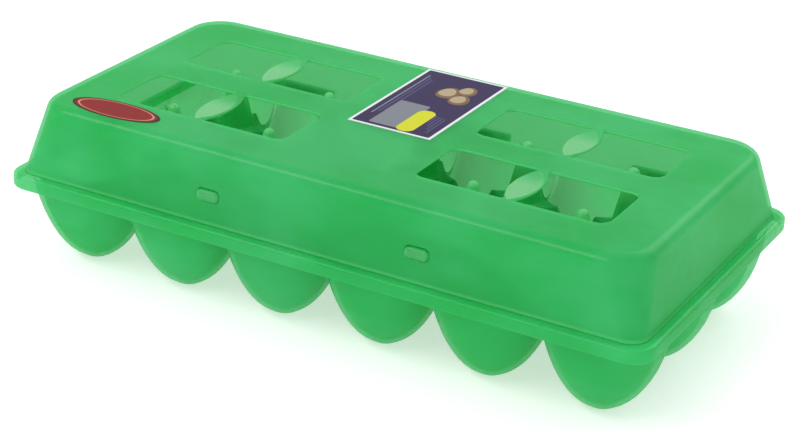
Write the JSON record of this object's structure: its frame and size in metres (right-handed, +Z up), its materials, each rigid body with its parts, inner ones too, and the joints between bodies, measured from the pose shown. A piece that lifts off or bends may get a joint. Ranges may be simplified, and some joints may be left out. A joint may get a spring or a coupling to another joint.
{
  "type": "egg keeper with flip lid",
  "caption": "Kitchen egg keeper: a tray of round egg cups with a windowed flip lid hinged along the back and a springy front flap whose knobs lock into it",
  "frame": {"origin": "centre of the tray in plan, at the table under the cups' feet", "axes": "+X along the tray to the right, +Y towards the hinge at the back, +Z up"},
  "size_m": [0.307, 0.157, 0.0751],
  "materials": {
    "green_plastic": "translucent green moulded plastic, glossy outside, milky in depth",
    "lid_plastic": "translucent green moulded plastic, glossy",
    "label_paper": null,
    "label_red": "glossy red oval paper label with a thin pale line, bare"
  },
  "bodies": {
    "tray": {"cup_a1": "green_plastic", "cup_a2": "green_plastic", "cup_a3": "green_plastic", "cup_a4": "green_plastic", "cup_a5": "green_plastic", "cup_a6": "green_plastic", "cup_b1": "green_plastic", "cup_b2": "green_plastic", "cup_b3": "green_plastic", "cup_b4": "green_plastic", "cup_b5": "green_plastic", "cup_b6": "green_plastic", "cup_c1": "green_plastic", "cup_c2": "green_plastic", "cup_c3": "green_plastic", "cup_c4": "green_plastic", "cup_c5": "green_plastic", "cup_c6": "green_plastic", "tray_rim": "green_plastic", "divider_posts": "green_plastic", "hinge_lugs": "green_plastic", "hinge_pins": "green_plastic"},
    "lid": {"lid": "lid_plastic", "lid_knuckles": "lid_plastic", "long_label": "label_paper", "oval_label": "label_red"},
    "locking_flap": {"locking_flap": "green_plastic", "locking_knobs": "green_plastic"}
  },
  "joints": [
    {"name": "lid_hinge", "type": "hinge", "parent": "tray", "child": "lid", "pos_m": [0, 0.0765, 0.045], "axis": [-1, 0, 0], "range_deg": [0, 180]},
    {"name": "flap_bend", "type": "hinge", "parent": "tray", "child": "locking_flap", "pos_m": [0, -0.07127, 0.0438], "axis": [-1, 0, 0], "range_deg": [0, 15], "stiffness_Nm_per_rad": 0.15}
  ]
}
